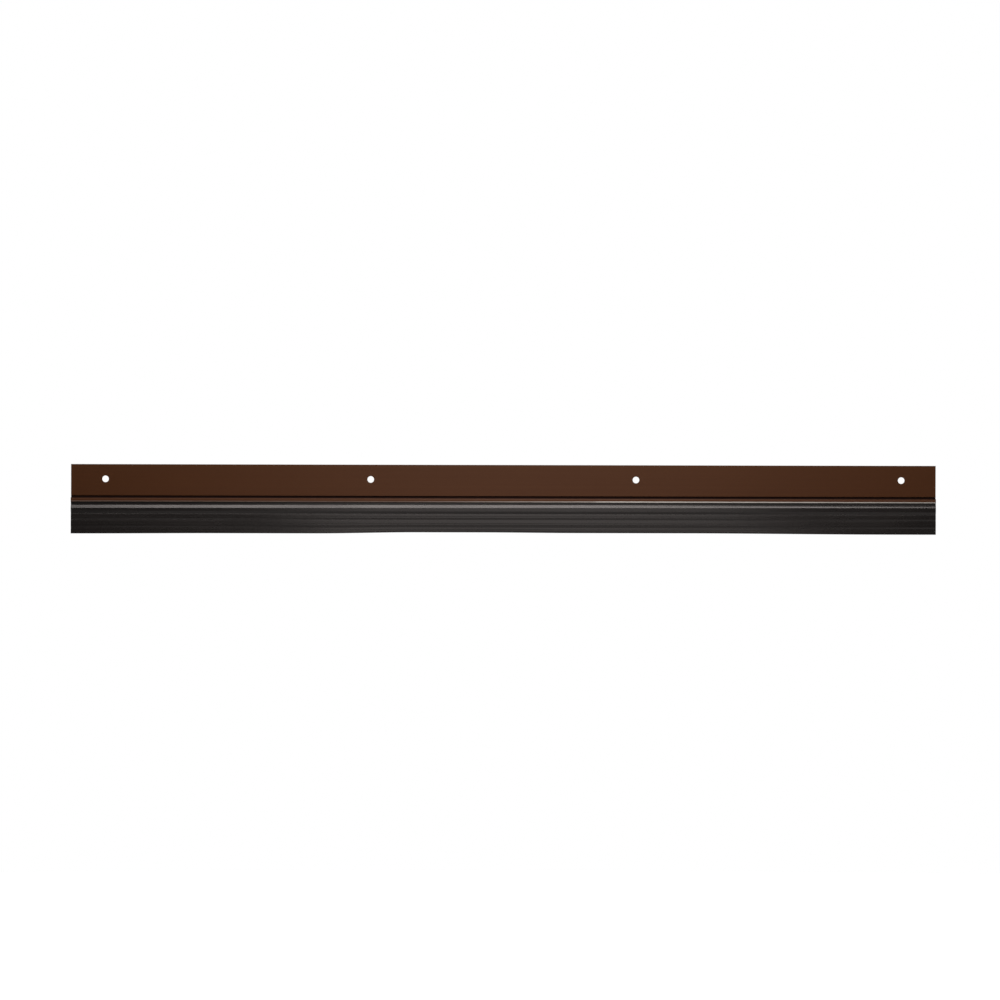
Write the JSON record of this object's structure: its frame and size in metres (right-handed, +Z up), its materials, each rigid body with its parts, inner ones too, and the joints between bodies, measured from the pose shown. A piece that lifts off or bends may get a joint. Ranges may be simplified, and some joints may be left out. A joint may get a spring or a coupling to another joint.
{
  "type": "door sweep",
  "caption": "Door bottom sweep: a brown aluminium strip with a row of screw holes over a channel that holds a ribbed black vinyl fin, which flexes against the floor or threshold.",
  "frame": {"origin": "on the carrier's back face, which lies on the door, midway along the line of screw holes", "axes": "+X along the sweep, +Z up towards the top of the door, +Y into the door (the front faces -Y)"},
  "size_m": [0.9144, 0.0057, 0.0728],
  "materials": {
    "brown_aluminium": "satin",
    "black_vinyl": "satin"
  },
  "bodies": {
    "root": {"carrier": "brown_aluminium", "insert_head": "black_vinyl"},
    "fin": {"sweep_fin": "black_vinyl"}
  },
  "joints": [
    {"name": "fin_flex", "type": "hinge", "parent": "root", "child": "fin", "pos_m": [0, -0.0033, -0.0345], "axis": [1, 0, 0], "range_deg": [-40, 40], "stiffness_Nm_per_rad": 0.6}
  ]
}
